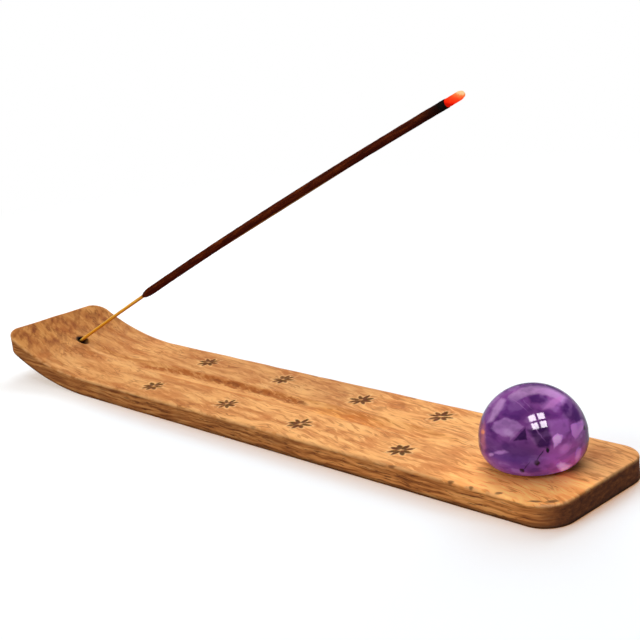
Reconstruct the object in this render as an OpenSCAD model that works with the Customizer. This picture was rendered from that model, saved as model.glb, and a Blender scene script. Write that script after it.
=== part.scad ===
// Incense stick holder: a long wooden ash catcher with one end swept up like a ski.
// The incense stick leans out of a slanted hole in the raised end, over an ash groove
// that runs down the curve and along the board towards a polished amethyst dome.
// Origin: middle of the board's length, on its flat underside. +X towards the dome,
// +Y across the board, +Z up. Lengths are in millimetres and angles in degrees.

/* [Board] */
// Overall length of the board
board_l = 260; // [220:5:300]
// Width of the board
board_w = 45; // [38:1:52]
// Thickness of the flat part
board_t = 6.8; // [6:0.1:8]
// Corner radius of the square end, seen from above
end_corner_r = 8.5; // [6:0.1:12]
// Corner radius of the raised end, seen from above
tip_corner_r = 6.1; // [3:0.1:9]

/* [Raised end] */
// Length of the underside that leaves the table
upturn_l = 51; // [45:0.5:58]
// Height of the underside at the very tip
upturn_rise = 11.6; // [9:0.1:14]
// How much nearer to the tip the top starts to curve
upturn_lag = 1.5; // [0.5:0.1:4]
// Thickness left at the tip
tip_t = 6.4; // [5:0.1:7.4]

/* [Ash groove] */
// Greatest depth of the groove
groove_depth = 1.2; // [0.8:0.1:2]
// Width of the groove where it is deepest
groove_w = 8; // [6:0.1:10]
// Depth of the groove where it meets the stick hole
groove_mouth_depth = 0.08; // [0.05:0.01:0.3]
// Depth of the groove at the foot of the raised end
groove_foot_depth = 0.55; // [0.3:0.05:0.75]
// Distance from the tip to where the groove is full depth
groove_full_l = 88; // [75:1:110]
// Bare wood between the groove's far end and the dome
groove_gap = 11.5; // [6:0.5:25]
// Length over which the far end of the groove runs out
groove_runout_l = 26; // [15:1:35]

/* [Stick hole] */
// Distance from the tip to the middle of the hole
hole_l = 19.4; // [17:0.1:23]
// Slope of the hole above the table, and of the stick where it leaves the hole
hole_slope = 27.1; // [22:0.1:30]
// Depth of the hole along its slope
hole_depth = 4.5; // [3.5:0.1:5]
// Play of the stick in the hole, on the diameter
hole_play = 0.4; // [0.2:0.05:0.6]
// Width of the burnt mouth of the hole
mouth_w = 3.8; // [2.6:0.1:4.4]
// Depth of the flared mouth along the hole's slope
mouth_depth = 3; // [2:0.1:3.2]

/* [Burnt flowers] */
// Diameter of a flower
flower_d = 7.7; // [6:0.1:9]
// Diameter of the bare middle of a flower
flower_eye_d = 2.6; // [2:0.1:3.2]
// Greatest width of a petal
petal_w = 1.5; // [0.9:0.1:1.6]
// Depth that a petal is pressed into the wood
petal_depth = 0.35; // [0.2:0.05:0.5]
// Petals in a flower
petal_count = 8; // [6:1:9]

/* [Amethyst dome] */
// Greatest diameter of the dome
dome_d = 29.6; // [24:0.2:34]
// Height of the dome from its flat base
dome_h = 21.8; // [17:0.1:26]
// Diameter of the flat base
dome_base_d = 21.6; // [18:0.1:23.6]
// Height above the base at which the dome is widest
dome_widest_h = 6.4; // [5:0.1:9]
// Radius of the dome's shoulder, as a share of the rise above its widest place
dome_shoulder_share = 0.67; // [0.5:0.01:0.9]
// Bevel round the base of the dome
dome_bevel = 0.5; // [0.3:0.1:0.8]
// Distance from the square end to the dome's centre
dome_inset = 22.3; // [18:0.1:30]
// Thickness of the clear adhesive under the dome
adhesive_t = 0.2; // [0.1:0.05:0.4]
// How far the adhesive stops short of the dome's edge
adhesive_margin = 2; // [1:0.1:3]

/* [Incense stick] */
// Present length of the lit stick along its curve, hidden end included
stick_l = 229.4; // [180:0.2:240]
// Radius of the curve to which the stick sags
stick_bend_r = 3450; // [2500:50:6000]
// Diameter of the bamboo
bamboo_d = 1.2; // [1:0.05:1.5]
// Bare length of bamboo, hidden end included
bare_l = 56.1; // [45:0.1:65]
// Diameter of the incense paste
paste_d = 2.8; // [2.3:0.1:3.4]
// Play of the bamboo in the bore of the paste, on the diameter
paste_play = 0.05; // [0.03:0.01:0.1]
// Length of the charred ring
char_l = 2.6; // [1.5:0.1:4]
// Length of the glowing tip
ember_l = 6.4; // [4:0.1:9]
// Diameter of the blunt end of the glowing tip
ember_end_d = 1.5; // [0.8:0.1:2]
// Length over which the glowing tip rounds off
ember_round_l = 1.6; // [0.8:0.1:2.4]
// Play between the stick's end and the floor of its hole
stick_seat = 0.05; // [0.02:0.01:0.1]

/* [Hidden] */
$fn = 96;

// One overrun serves every cut
over = 1;

// Places of the flowers: shares of the board's length from the tip, and of its width
// from the centreline. They were burnt in by hand, so the rows are not quite even.
flower_place_shares = [
    [0.320, -0.309], [0.469, -0.284], [0.607, -0.293], [0.769, -0.282],
    [0.310, 0.300], [0.465, 0.309], [0.615, 0.272], [0.740, 0.303]
];
// Turn of each flower, as a share of the angle between two petals
flower_turn_shares = [0.35, 0.10, 0.30, 0.05, 0.25, 0.40, 0.20, 0.30];

tip_x = -board_l / 2;
end_x = board_l / 2;

// Underside and top of the raised end are separate arcs, so that the wood thins
// a little towards the tip. Each leaves its flat face without a step.
under_x = tip_x + upturn_l;
under_r = (pow(upturn_l, 2) + pow(upturn_rise, 2)) / (2 * upturn_rise);
top_l = upturn_l - upturn_lag;
top_x = tip_x + top_l;
top_rise = upturn_rise + tip_t - board_t;
top_r = (pow(top_l, 2) + pow(top_rise, 2)) / (2 * top_rise);
blank_h = board_t + 2 * upturn_rise;

// The stick starts along the slanted line of its hole and sags to one side of it
hole_x = tip_x + hole_l;
hole_z = board_t + top_r - sqrt(pow(top_r, 2) - pow(top_x - hole_x, 2));
hole_d = bamboo_d + hole_play;
mouth_flare = (mouth_w - hole_d) / (2 * mouth_depth);

// A round gouge cuts the groove. It follows an arc down the raised end, a wide arc
// that takes it to its full depth, a straight line along the flat part, and an arc
// that lifts it out before the dome.
gouge_r = (pow(groove_w / 2, 2) + pow(groove_depth, 2)) / (2 * groove_depth);
groove_floor_z = board_t - groove_depth;
groove_foot_z = board_t - groove_foot_depth;
groove_fall_l = top_x - hole_x;
groove_fall = hole_z - groove_mouth_depth - groove_foot_z;
groove_fall_r = (pow(groove_fall_l, 2) + pow(groove_fall, 2)) / (2 * groove_fall);
groove_full_x = tip_x + groove_full_l;
groove_sink_l = groove_full_x - top_x;
groove_sink = groove_depth - groove_foot_depth;
groove_sink_r = (pow(groove_sink_l, 2) + pow(groove_sink, 2)) / (2 * groove_sink);
dome_x = end_x - dome_inset;
groove_end_x = dome_x - dome_base_d / 2 - groove_gap;
groove_out_x = groove_end_x - groove_runout_l;
groove_out_r = (pow(groove_runout_l, 2) + pow(groove_depth, 2)) / (2 * groove_depth);

// Three arcs make the dome's outline: one from its base to its widest place, one round
// its shoulder and one over its crown. Each leaves the one before it without a corner.
dome_r = dome_d / 2;
dome_base_r = dome_base_d / 2;
dome_swell = dome_r - dome_base_r;
dome_foot_r = (pow(dome_widest_h, 2) + pow(dome_swell, 2)) / (2 * dome_swell);
dome_rise = dome_h - dome_widest_h;
dome_shoulder_r = dome_shoulder_share * dome_rise;
dome_shoulder_x = dome_r - dome_shoulder_r;
dome_flat = pow(dome_r, 2) + pow(dome_rise, 2) - 2 * dome_r * dome_shoulder_r;
dome_crown_r = dome_flat / (2 * (dome_rise - dome_shoulder_r));
dome_crown_x = dome_crown_r * dome_shoulder_x / (dome_crown_r - dome_shoulder_r);

// Lengths along the stick's curve, from its lower end
char_at = stick_l - ember_l - char_l;
ember_at = stick_l - ember_l;

// Turn of the stick's curve from the hole's mouth to a length along the stick
function bend_angle(at) = (at + stick_seat - hole_depth) / stick_bend_r * 180 / PI;

// Side view of the board, a little longer than the board at both ends
module board_side() {
    difference() {
        intersection() {
            translate([tip_x - over, 0])
                square([board_l + 2 * over, blank_h]);
            union() {
                translate([under_x, under_r])
                    circle(r = under_r, $fn = 720);
                translate([under_x, 0])
                    square([end_x + over - under_x, blank_h]);
            }
        }
        translate([top_x, board_t + top_r])
            circle(r = top_r, $fn = 720);
        translate([top_x, board_t])
            square([end_x + 2 * over - top_x, blank_h]);
    }
}

// What a round corner takes off a square one, for the corner at the origin
module corner_waste(r) {
    difference() {
        translate([-over, -over])
            square(r + over);
        translate([r, r])
            circle(r = r);
    }
}

// Board seen from above, with all four corners rounded
module board_plan() {
    difference() {
        translate([tip_x, -board_w / 2])
            square([board_l, board_w]);
        for (side = [0, 1]) mirror([0, side]) {
            translate([tip_x, -board_w / 2])
                corner_waste(tip_corner_r);
            translate([end_x, -board_w / 2])
                mirror([1, 0])
                    corner_waste(end_corner_r);
        }
    }
}

// Path of the gouge on an arc whose lowest point is at x and z, bending up over an
// angle. The angle is positive towards +X and negative towards the tip.
module gouge_arc(x, z, r, angle) {
    translate([x, 0, z + r])
        rotate([90, 0, 0])
            rotate([0, 0, 270 + min(angle, 0)])
                rotate_extrude(angle = abs(angle), $fn = 720)
                    translate([r - gouge_r, 0])
                        circle(r = gouge_r);
}

// The groove's four stretches, cut one after the other
module groove_fall() {
    gouge_arc(top_x, groove_foot_z, groove_fall_r, -asin(groove_fall_l / groove_fall_r));
}

module groove_sink() {
    gouge_arc(groove_full_x, groove_floor_z, groove_sink_r, -asin(groove_sink_l / groove_sink_r));
}

module groove_run() {
    translate([groove_full_x, 0, groove_floor_z + gouge_r])
        rotate([0, 90, 0])
            cylinder(r = gouge_r, h = groove_out_x - groove_full_x);
}

module groove_runout() {
    gouge_arc(groove_out_x, groove_floor_z, groove_out_r, asin(groove_runout_l / groove_out_r));
}

// Places what is drawn along +Z onto the line of the hole, with z = 0 where that line
// meets the wood
module along_stick() {
    translate([hole_x, 0, hole_z])
        rotate([0, 90 - hole_slope, 0])
            children();
}

// Drilled part of the hole, and the mouth that a hot iron burnt wider
module stick_hole() {
    along_stick() {
        translate([0, 0, -hole_depth])
            cylinder(d = hole_d, h = hole_depth + over);
        translate([0, 0, -mouth_depth])
            cylinder(
                d1 = hole_d,
                d2 = mouth_w + 2 * mouth_flare * mouth_w,
                h = mouth_depth + mouth_w
            );
    }
}

// One petal: the lens where two circles overlap, from the eye to the flower's edge
module petal() {
    petal_l = (flower_d - flower_eye_d) / 2;
    petal_r = (pow(petal_l / 2, 2) + pow(petal_w / 2, 2)) / petal_w;
    translate([(flower_eye_d + petal_l) / 2, 0])
        intersection_for (side = [-1, 1])
            translate([0, side * (petal_r - petal_w / 2)])
                circle(r = petal_r);
}

module burnt_flowers() {
    petal_step = 360 / petal_count;
    for (i = [0 : len(flower_place_shares) - 1]) {
        place = flower_place_shares[i];
        translate([tip_x + place[0] * board_l, place[1] * board_w, board_t - petal_depth])
            linear_extrude(height = petal_depth + over)
                for (k = [0 : petal_count - 1])
                    rotate((k + flower_turn_shares[i]) * petal_step)
                        petal();
    }
}

module ash_catcher_board() {
    color([0.78, 0.52, 0.29])
        difference() {
            intersection() {
                rotate([90, 0, 0])
                    linear_extrude(height = board_w + 2 * over, center = true)
                        board_side();
                translate([0, 0, -over])
                    linear_extrude(height = blank_h + 2 * over)
                        board_plan();
            }
            groove_fall();
            groove_sink();
            groove_run();
            groove_runout();
            stick_hole();
            burnt_flowers();
        }
}

module dome_adhesive() {
    color([0.85, 0.83, 0.78])
        translate([dome_x, 0, board_t])
            cylinder(r = dome_base_r - adhesive_margin, h = adhesive_t);
}

// Half of the dome's outline, with its axis at x = 0 and its base at y = 0
module dome_outline() {
    intersection() {
        square([dome_r + over, dome_widest_h]);
        translate([dome_r - dome_foot_r, dome_widest_h])
            circle(r = dome_foot_r, $fn = 180);
    }
    intersection() {
        translate([dome_crown_x, dome_widest_h])
            square([dome_r + over - dome_crown_x, dome_rise]);
        translate([dome_shoulder_x, dome_widest_h])
            circle(r = dome_shoulder_r);
    }
    intersection() {
        translate([0, dome_widest_h])
            square([dome_crown_x, dome_rise]);
        translate([0, dome_h - dome_crown_r])
            circle(r = dome_crown_r, $fn = 120);
    }
}

// What a fine bevel leaves at the edge of the base
module bevel_room() {
    bevel_h = 2 * dome_bevel;
    polygon([
        [0, 0],
        [dome_base_r - dome_bevel, 0],
        [dome_base_r + dome_bevel, bevel_h],
        [dome_r + over, bevel_h],
        [dome_r + over, dome_h + over],
        [0, dome_h + over]
    ]);
}

// A pebble turned a little flatter than a ball, and cut flat below its widest place
module amethyst_dome() {
    color([0.45, 0.20, 0.58])
        translate([dome_x, 0, board_t + adhesive_t])
            rotate_extrude()
                intersection() {
                    dome_outline();
                    bevel_room();
                }
}

// Places what is drawn along +Z onto the bent stick, with z = 0 at a length along it
module at_stick(at) {
    along_stick()
        translate([stick_bend_r, 0, 0])
            rotate([0, bend_angle(at), 0])
                translate([-stick_bend_r, 0, 0])
                    children();
}

// Sweeps a section along the bent stick, from one length along it to another
module bent_rod(from_at, to_at) {
    along_stick()
        translate([stick_bend_r, 0, 0])
            rotate([90, 0, 0])
                rotate([0, 0, 180 - bend_angle(to_at)])
                    rotate_extrude(angle = bend_angle(to_at) - bend_angle(from_at), $fn = 1440)
                        translate([stick_bend_r, 0])
                            children();
}

module paste_section() {
    difference() {
        circle(d = paste_d, $fn = 48);
        circle(d = bamboo_d + paste_play, $fn = 48);
    }
}

module bamboo_core() {
    color([0.80, 0.56, 0.22])
        bent_rod(0, ember_at)
            circle(d = bamboo_d, $fn = 48);
}

module incense_paste() {
    color([0.27, 0.09, 0.05])
        bent_rod(bare_l, char_at)
            paste_section();
}

module charred_ring() {
    color([0.05, 0.04, 0.04])
        bent_rod(char_at, ember_at)
            paste_section();
}

module ember_tip() {
    shoulder_l = ember_l - ember_round_l;
    color([1.0, 0.30, 0.10])
        at_stick(ember_at)
            rotate_extrude($fn = 48)
                polygon([
                    [0, 0],
                    [paste_d / 2, 0],
                    [(9 * paste_d + ember_end_d) / 20, shoulder_l],
                    [(paste_d + ember_end_d) / 4, ember_l - ember_round_l / 3],
                    [ember_end_d / 3, ember_l],
                    [0, ember_l]
                ]);
}

ash_catcher_board();
dome_adhesive();
amethyst_dome();
bamboo_core();
incense_paste();
charred_ring();
ember_tip();
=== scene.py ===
# Looks of the incense stick holder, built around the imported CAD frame.
# Everything is in metres in the CAD's own frame; sizes written in millimetres are
# turned into metres with MM where a mesh or an object is made.
import itertools
import math

import bmesh
import bpy
import numpy as np
from mathutils import Matrix, Vector


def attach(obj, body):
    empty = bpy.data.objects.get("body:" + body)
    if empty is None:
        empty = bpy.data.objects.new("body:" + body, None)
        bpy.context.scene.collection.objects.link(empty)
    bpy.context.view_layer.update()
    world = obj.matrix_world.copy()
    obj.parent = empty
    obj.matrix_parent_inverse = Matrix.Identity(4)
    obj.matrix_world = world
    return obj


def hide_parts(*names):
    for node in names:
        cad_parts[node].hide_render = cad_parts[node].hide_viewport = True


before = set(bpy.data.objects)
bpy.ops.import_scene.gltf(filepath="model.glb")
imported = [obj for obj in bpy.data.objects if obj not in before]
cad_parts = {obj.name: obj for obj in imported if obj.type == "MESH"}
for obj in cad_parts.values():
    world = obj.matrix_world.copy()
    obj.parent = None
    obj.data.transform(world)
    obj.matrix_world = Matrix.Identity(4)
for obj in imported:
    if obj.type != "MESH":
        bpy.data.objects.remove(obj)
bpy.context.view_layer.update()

MM = 0.001

# Sizes of the part, as in its CAD source, in millimetres and degrees
BOARD_L, BOARD_W, BOARD_T = 260.0, 45.0, 6.8
END_CORNER_R, TIP_CORNER_R = 8.5, 6.1
UPTURN_L, UPTURN_RISE, UPTURN_LAG, TIP_T = 51.0, 11.6, 1.5, 6.4
GROOVE_DEPTH, GROOVE_W, GROOVE_MOUTH_DEPTH, GROOVE_FOOT_DEPTH = 1.2, 8.0, 0.08, 0.55
GROOVE_FULL_L, GROOVE_GAP, GROOVE_RUNOUT_L = 88.0, 11.5, 26.0
HOLE_L, HOLE_SLOPE, HOLE_DEPTH = 19.4, 27.1, 4.5
HOLE_D, MOUTH_W, MOUTH_DEPTH = 1.6, 3.8, 3.0
FLOWER_D, FLOWER_EYE_D = 7.7, 2.6
PETAL_W, PETAL_DEPTH, PETAL_COUNT = 1.5, 0.35, 8
DOME_D, DOME_H, DOME_BASE_D, DOME_WIDEST_H = 29.6, 21.8, 21.6, 6.4
DOME_SHOULDER_SHARE, DOME_BEVEL, DOME_INSET = 0.67, 0.5, 22.3
ADHESIVE_T = 0.2
STICK_L, STICK_BEND_R = 229.4, 3450.0
BARE_L, CHAR_L, EMBER_L, EMBER_ROUND_L = 56.1, 2.6, 6.4, 1.6
BAMBOO_D, PASTE_D, EMBER_END_D, STICK_SEAT = 1.2, 2.8, 1.5, 0.05

# Flowers: share of the board's length from the tip, share of its width from the
# middle, and turn as a share of the angle between two petals
FLOWERS = [
    (0.320, -0.309, 0.35), (0.469, -0.284, 0.10),
    (0.607, -0.293, 0.30), (0.769, -0.282, 0.05),
    (0.310, 0.300, 0.25), (0.465, 0.309, 0.40),
    (0.615, 0.272, 0.20), (0.740, 0.303, 0.30),
]

TIP_X, END_X, HALF_W = -BOARD_L / 2, BOARD_L / 2, BOARD_W / 2
UNDER_X = TIP_X + UPTURN_L
UNDER_R = (UPTURN_L ** 2 + UPTURN_RISE ** 2) / (2 * UPTURN_RISE)
TOP_L = UPTURN_L - UPTURN_LAG
TOP_X = TIP_X + TOP_L
TOP_RISE = UPTURN_RISE + TIP_T - BOARD_T
TOP_R = (TOP_L ** 2 + TOP_RISE ** 2) / (2 * TOP_RISE)
HOLE_X = TIP_X + HOLE_L
HOLE_Z = BOARD_T + TOP_R - math.sqrt(TOP_R ** 2 - (TOP_X - HOLE_X) ** 2)
GOUGE_R = ((GROOVE_W / 2) ** 2 + GROOVE_DEPTH ** 2) / (2 * GROOVE_DEPTH)
GROOVE_Z = BOARD_T - GROOVE_DEPTH
GROOVE_FOOT_Z = BOARD_T - GROOVE_FOOT_DEPTH
FALL_L = TOP_X - HOLE_X
FALL = HOLE_Z - GROOVE_MOUTH_DEPTH - GROOVE_FOOT_Z
FALL_R = (FALL_L ** 2 + FALL ** 2) / (2 * FALL)
GROOVE_FULL_X = TIP_X + GROOVE_FULL_L
SINK_L = GROOVE_FULL_X - TOP_X
SINK = GROOVE_DEPTH - GROOVE_FOOT_DEPTH
SINK_R = (SINK_L ** 2 + SINK ** 2) / (2 * SINK)
DOME_X = END_X - DOME_INSET
DOME_R, DOME_BASE_R = DOME_D / 2, DOME_BASE_D / 2
DOME_BASE_Z = BOARD_T + ADHESIVE_T
DOME_SWELL = DOME_R - DOME_BASE_R
DOME_FOOT_R = (DOME_WIDEST_H ** 2 + DOME_SWELL ** 2) / (2 * DOME_SWELL)
DOME_RISE = DOME_H - DOME_WIDEST_H
DOME_SHOULDER_R = DOME_SHOULDER_SHARE * DOME_RISE
DOME_SHOULDER_X = DOME_R - DOME_SHOULDER_R
DOME_FLAT = DOME_R ** 2 + DOME_RISE ** 2 - 2 * DOME_R * DOME_SHOULDER_R
DOME_CROWN_R = DOME_FLAT / (2 * (DOME_RISE - DOME_SHOULDER_R))
GROOVE_END_X = DOME_X - DOME_BASE_R - GROOVE_GAP
GROOVE_OUT_X = GROOVE_END_X - GROOVE_RUNOUT_L
OUT_R = (GROOVE_RUNOUT_L ** 2 + GROOVE_DEPTH ** 2) / (2 * GROOVE_DEPTH)
EMBER_AT = STICK_L - EMBER_L
CHAR_AT = EMBER_AT - CHAR_L
# The coat thickens over its first millimetres, and then thins a little to the glow
PASTE_START_R, PASTE_START_L = 1.15, 3.2
PASTE_LOW_R, PASTE_TOP_R = PASTE_D / 2 + 0.10, PASTE_D / 2 - 0.06
# How much thicker the split bamboo's corners make it, and how far the coat grips into it
BAMBOO_SPARE, COAT_GRIP = 0.04, 0.03

# Line of the hole, and the wide arc on which the stick leaves it and sags
SLOPE = math.radians(HOLE_SLOPE)
HOLE_DIR = np.array([math.cos(SLOPE), 0.0, math.sin(SLOPE)])
HOLE_OUT = np.array([-math.sin(SLOPE), 0.0, math.cos(SLOPE)])
HOLE_AT = np.array([HOLE_X, 0.0, HOLE_Z])
BEND_CENTRE = HOLE_AT - HOLE_OUT * STICK_BEND_R


# Small tools

def smooth(value, low, high):
    """0 below low, 1 above high, and an even curve between them."""
    t = np.clip((value - low) / (high - low), 0, 1)
    return t * t * (3 - 2 * t)


def lattice_noise(points, seed):
    """Smooth noise from -1 to 1 at each point, with one swing to a unit."""
    rng = np.random.default_rng(seed)
    size = 4096
    table = rng.uniform(-1, 1, size)
    order = rng.permutation(size)
    cell = np.floor(points).astype(int)
    part = points - cell
    ease = part * part * (3 - 2 * part)
    total = np.zeros(len(points))
    for corner in itertools.product((0, 1), repeat=3):
        at = cell + corner
        index = order[at[:, 2] % size]
        index = order[(at[:, 1] + index) % size]
        index = order[(at[:, 0] + index) % size]
        weight = np.prod(np.where(corner, ease, 1 - ease), axis=1)
        total += table[index] * weight
    return total


def noise_at(x, y, z, stretch, seed):
    """Lattice noise of points in millimetres, where stretch is the length of one swing."""
    shape = np.shape(x)
    points = np.stack([np.ravel(x), np.ravel(y), np.ravel(z)], axis=1) / np.array(stretch)
    return lattice_noise(points, seed).reshape(shape)


def new_object(name, verts_mm, faces):
    """A smooth-shaded mesh object from points in millimetres."""
    mesh = bpy.data.meshes.new(name)
    mesh.from_pydata((np.asarray(verts_mm) * MM).tolist(), [], faces)
    mesh.validate()
    mesh.polygons.foreach_set("use_smooth", np.ones(len(mesh.polygons), bool))
    made = bpy.data.objects.new(name, mesh)
    bpy.context.scene.collection.objects.link(made)
    return made


def points_mm(obj):
    """The mesh's points in millimetres."""
    co = np.zeros(len(obj.data.vertices) * 3)
    obj.data.vertices.foreach_get("co", co)
    return co.reshape(-1, 3) / MM


def set_share(obj, name, values):
    """Stores one number for each point, for the material to read."""
    attribute = obj.data.attributes.new(name, "FLOAT", "POINT")
    attribute.data.foreach_set("value", np.asarray(values, np.float32))


def spaced_lines(low, high, spacing):
    """Lines from low to high, where spacing(place) is the distance to the next one."""
    made = [low]
    while made[-1] < high:
        made.append(made[-1] + spacing(made[-1]))
    made = np.array(made)
    return low + (made - low) * (high - low) / (made[-1] - low)


# The board's shape

def top_z(x):
    """Top of the board before anything is cut into it."""
    rise = np.clip(TOP_X - x, 0, None)
    return BOARD_T + TOP_R - np.sqrt(TOP_R ** 2 - rise ** 2)


def under_z(x):
    """Underside of the board."""
    rise = np.clip(UNDER_X - x, 0, None)
    return UNDER_R - np.sqrt(UNDER_R ** 2 - rise ** 2)


# Height that stands for no cut at all
NO_CUT_Z = 99.0


def groove_z(x, y):
    """Height of the gouge's cut, far above the wood where there is none."""
    drop = np.sqrt(np.clip(GOUGE_R ** 2 - y ** 2, 0, None))

    def arc(low_x, low_z, r):
        return low_z + r - np.sqrt(np.clip((r - GOUGE_R + drop) ** 2 - (x - low_x) ** 2, 0, None))

    z = np.where(x > GROOVE_OUT_X, arc(GROOVE_OUT_X, GROOVE_Z, OUT_R), GROOVE_Z + GOUGE_R - drop)
    z = np.where(x < GROOVE_FULL_X, arc(GROOVE_FULL_X, GROOVE_Z, SINK_R), z)
    z = np.where(x < TOP_X, arc(TOP_X, GROOVE_FOOT_Z, FALL_R), z)
    away = (x < HOLE_X) | (x > GROOVE_END_X + 1) | (np.abs(y) > GOUGE_R - 0.5)
    return np.where(away, NO_CUT_Z, z)


def half_width(x):
    """Half the board's width at x, with its rounded corners."""
    tip = np.clip(TIP_CORNER_R - (x - TIP_X), 0, TIP_CORNER_R)
    end = np.clip(END_CORNER_R - (END_X - x), 0, END_CORNER_R)
    tip_cut = TIP_CORNER_R - np.sqrt(TIP_CORNER_R ** 2 - tip ** 2)
    end_cut = END_CORNER_R - np.sqrt(END_CORNER_R ** 2 - end ** 2)
    return HALF_W - tip_cut - end_cut


def edge_distance(x, y):
    """Distance from a point of the plan to the board's outline."""
    side = HALF_W - np.abs(y)
    found = side
    for ahead, r in ((x - TIP_X, TIP_CORNER_R), (END_X - x, END_CORNER_R)):
        corner = (ahead < r) & (side < r)
        arc = r - np.hypot(r - ahead, r - side)
        found = np.minimum(found, np.where(corner, arc, np.minimum(ahead, side)))
    return np.clip(found, 0, None)


# How uneven the petals are by hand: turn in radians, place in millimetres, and shares
# of their length, width and darkness; and that length, width and darkness themselves
PETAL_TURN, PETAL_SHIFT, PETAL_LONG, PETAL_WIDE, PETAL_DARK = 0.10, 0.22, 0.14, 0.20, 0.20
PETAL_LENGTH_SHARE, PETAL_WIDTH_SHARE, PETAL_DARKNESS = 1.42, 0.98, 0.80


def petals():
    """Every burnt petal: place, direction, half length, half width and darkness."""
    rng = np.random.default_rng(11)
    made = []
    for along_share, across_share, turn in FLOWERS:
        x = TIP_X + along_share * BOARD_L
        y = across_share * BOARD_W
        for k in range(PETAL_COUNT):
            jitter = rng.uniform(-1, 1, 5)
            angle = math.tau * (k + turn) / PETAL_COUNT + PETAL_TURN * jitter[0]
            middle = (FLOWER_D + FLOWER_EYE_D) / 4 - PETAL_SHIFT + PETAL_SHIFT * jitter[1]
            long = PETAL_LENGTH_SHARE + PETAL_LONG * jitter[2]
            long = (FLOWER_D - FLOWER_EYE_D) / 4 * long
            wide = PETAL_W / 2 * (PETAL_WIDTH_SHARE + PETAL_WIDE * jitter[3])
            dark = PETAL_DARKNESS + PETAL_DARK * jitter[4]
            centre = (x + middle * math.cos(angle), y + middle * math.sin(angle))
            made.append((centre, angle, long, wide, dark))
    return made


PETALS = petals()


def petal_marks(x, y):
    """Pressed depth, burn and pale rim of the flowers, as shares at each point."""
    pressed, burnt, rim = (np.zeros(np.shape(x)) for _ in range(3))
    for (cx, cy), angle, long, wide, dark in PETALS:
        near = (np.abs(x - cx) < FLOWER_D / 2) & (np.abs(y - cy) < FLOWER_D / 2)
        dx, dy = x[near] - cx, y[near] - cy
        along = (dx * math.cos(angle) + dy * math.sin(angle)) / long
        across = (dy * math.cos(angle) - dx * math.sin(angle)) / wide
        inside = 1 - np.sqrt(along ** 2 + across ** 2 + 0.4 * (along * across) ** 2)
        pressed[near] = np.maximum(pressed[near], dark * smooth(inside, 0.0, 0.5))
        burnt[near] = np.maximum(burnt[near], dark * smooth(inside, -0.30, 0.30))
        rim[near] = np.maximum(rim[near], smooth(inside, -1.0, -0.45))
    return pressed, burnt, rim


def hole_radius(x, y, z):
    """(distance from the slanted hole's axis, place along it) of each point."""
    offset = np.stack([x, y, z], axis=-1) - HOLE_AT
    along = offset @ HOLE_DIR
    across = np.linalg.norm(offset - along[..., None] * HOLE_DIR, axis=-1)
    return across, along


# Dents along the near top edge: place along the board, length and depth
DINGS = [
    (-86.0, 1.3, 0.20), (-38.0, 1.6, 0.22), (22.0, 1.8, 0.22), (58.0, 1.2, 0.22),
    (75.0, 1.6, 0.42), (99.0, 1.3, 0.40), (112.0, 1.8, 0.40),
]


# Marks of handwork on the top: width of the soft edge between groove and top, depth of
# the sanded waves and of the tool's ripple, radius of the worn edge and how much it
# swings, and depth and width of the dip round the hole's mouth
GROOVE_BLEND = 0.22
WAVE, RIPPLE = 0.035, 0.012
WORN_R, WORN_SWING = 0.75, 0.22
MOUTH_DIP, MOUTH_DIP_W = 0.22, 0.45


def board_surface(x, y):
    """Height of the finished top: carved, dented, pressed and worn at its edges."""
    base = top_z(x)
    groove = groove_z(x, y)
    close = np.clip(GROOVE_BLEND - np.abs(base - groove), 0, None) / GROOVE_BLEND
    z = np.minimum(base, groove) - close ** 2 * GROOVE_BLEND / 4
    z += WAVE * (noise_at(x, y, 0 * x, (26, 9, 1), 3) - 1)
    z += RIPPLE * (noise_at(x, y, 0 * x, (5, 1.6, 1), 4) - 1)
    pressed, _, _ = petal_marks(x, y)
    z -= PETAL_DEPTH * pressed
    across, _ = hole_radius(x, y, base)
    z -= MOUTH_DIP * np.exp(-((across - MOUTH_W / 2) / MOUTH_DIP_W) ** 2)
    gap = edge_distance(x, y)
    round_r = WORN_R + WORN_SWING * noise_at(x, y, 0 * x, (7, 7, 1), 5)
    short = np.clip(round_r - gap, 0, None)
    z -= round_r - np.sqrt(np.clip(round_r ** 2 - short ** 2, 0, None))
    for at, long, deep in DINGS:
        near = np.exp(-((x - at) / long) ** 2) * smooth(-y, HALF_W - 1.6, HALF_W)
        z -= deep * near
    return z


# Steps of the board's grid in millimetres: at most along and across the board, and over
# the flowers, round the hole and over the groove
STEP_X, STEP_Y = 0.95, 0.80
STEP_FLOWER, STEP_HOLE, STEP_GROOVE = 0.26, 0.30, 0.36


def board_lines():
    """The grid's lines along the board, and across it as shares of the half width."""
    flower_x = [TIP_X + f[0] * BOARD_L for f in FLOWERS]
    flower_y = [f[1] * BOARD_W for f in FLOWERS]
    reach = FLOWER_D / 2 + 0.6

    def step_x(x):
        ends = 0.06 + 0.16 * min(abs(x - TIP_X), abs(END_X - x))
        fine = min(abs(x - at) for at in flower_x) < reach
        hole = abs(x - HOLE_X) < 4.5
        return min(ends, STEP_FLOWER if fine else STEP_X, STEP_HOLE if hole else STEP_X)

    def step_y(y):
        sides = 0.07 + 0.22 * (HALF_W - abs(y))
        fine = min(abs(y - at) for at in flower_y) < reach
        groove = abs(y) < GROOVE_W / 2 + 0.8
        return min(sides, STEP_FLOWER if fine else STEP_Y, STEP_GROOVE if groove else STEP_Y)

    return (
        spaced_lines(TIP_X, END_X, step_x),
        spaced_lines(-HALF_W, HALF_W, step_y) / HALF_W,
    )


# Rows of points down the side walls and round the edge at their foot, that edge's
# radius, the depth of the walls' fine ridges and cracks, and the lines of points along
# the underside
WALL_ROWS, FOOT_ROWS = 14, 3
WALL_FOOT_R = 0.45
WALL_RIDGE, WALL_CRACK = 0.035, 0.12
UNDER_LINES = 13


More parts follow.
